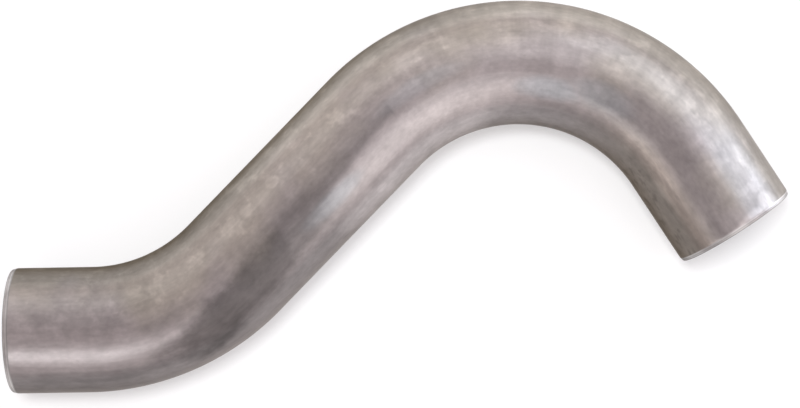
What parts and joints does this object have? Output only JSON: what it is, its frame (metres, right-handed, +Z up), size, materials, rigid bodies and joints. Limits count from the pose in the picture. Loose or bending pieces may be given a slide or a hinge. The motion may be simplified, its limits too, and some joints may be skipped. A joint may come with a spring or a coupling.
{
  "type": "tailpipe",
  "caption": "Bent round steel exhaust tube: a straight inlet, a gentle bend, a slanting leg, a long arch over the axle and a short down-turned outlet, open at both ends.",
  "frame": {"origin": "centre of the inlet mouth, on the tube's axis", "axes": "+X along the inlet's axis into the pipe, +Y in the bend plane towards the arch, +Z up, square to the bend plane, with the pipe lying flat"},
  "size_m": [0.3932, 0.1959, 0.0636],
  "materials": {
    "steel": "bare mill finish with drawn streaks and bending marks"
  },
  "bodies": {
    "root": {"tailpipe": "steel"}
  },
  "joints": []
}
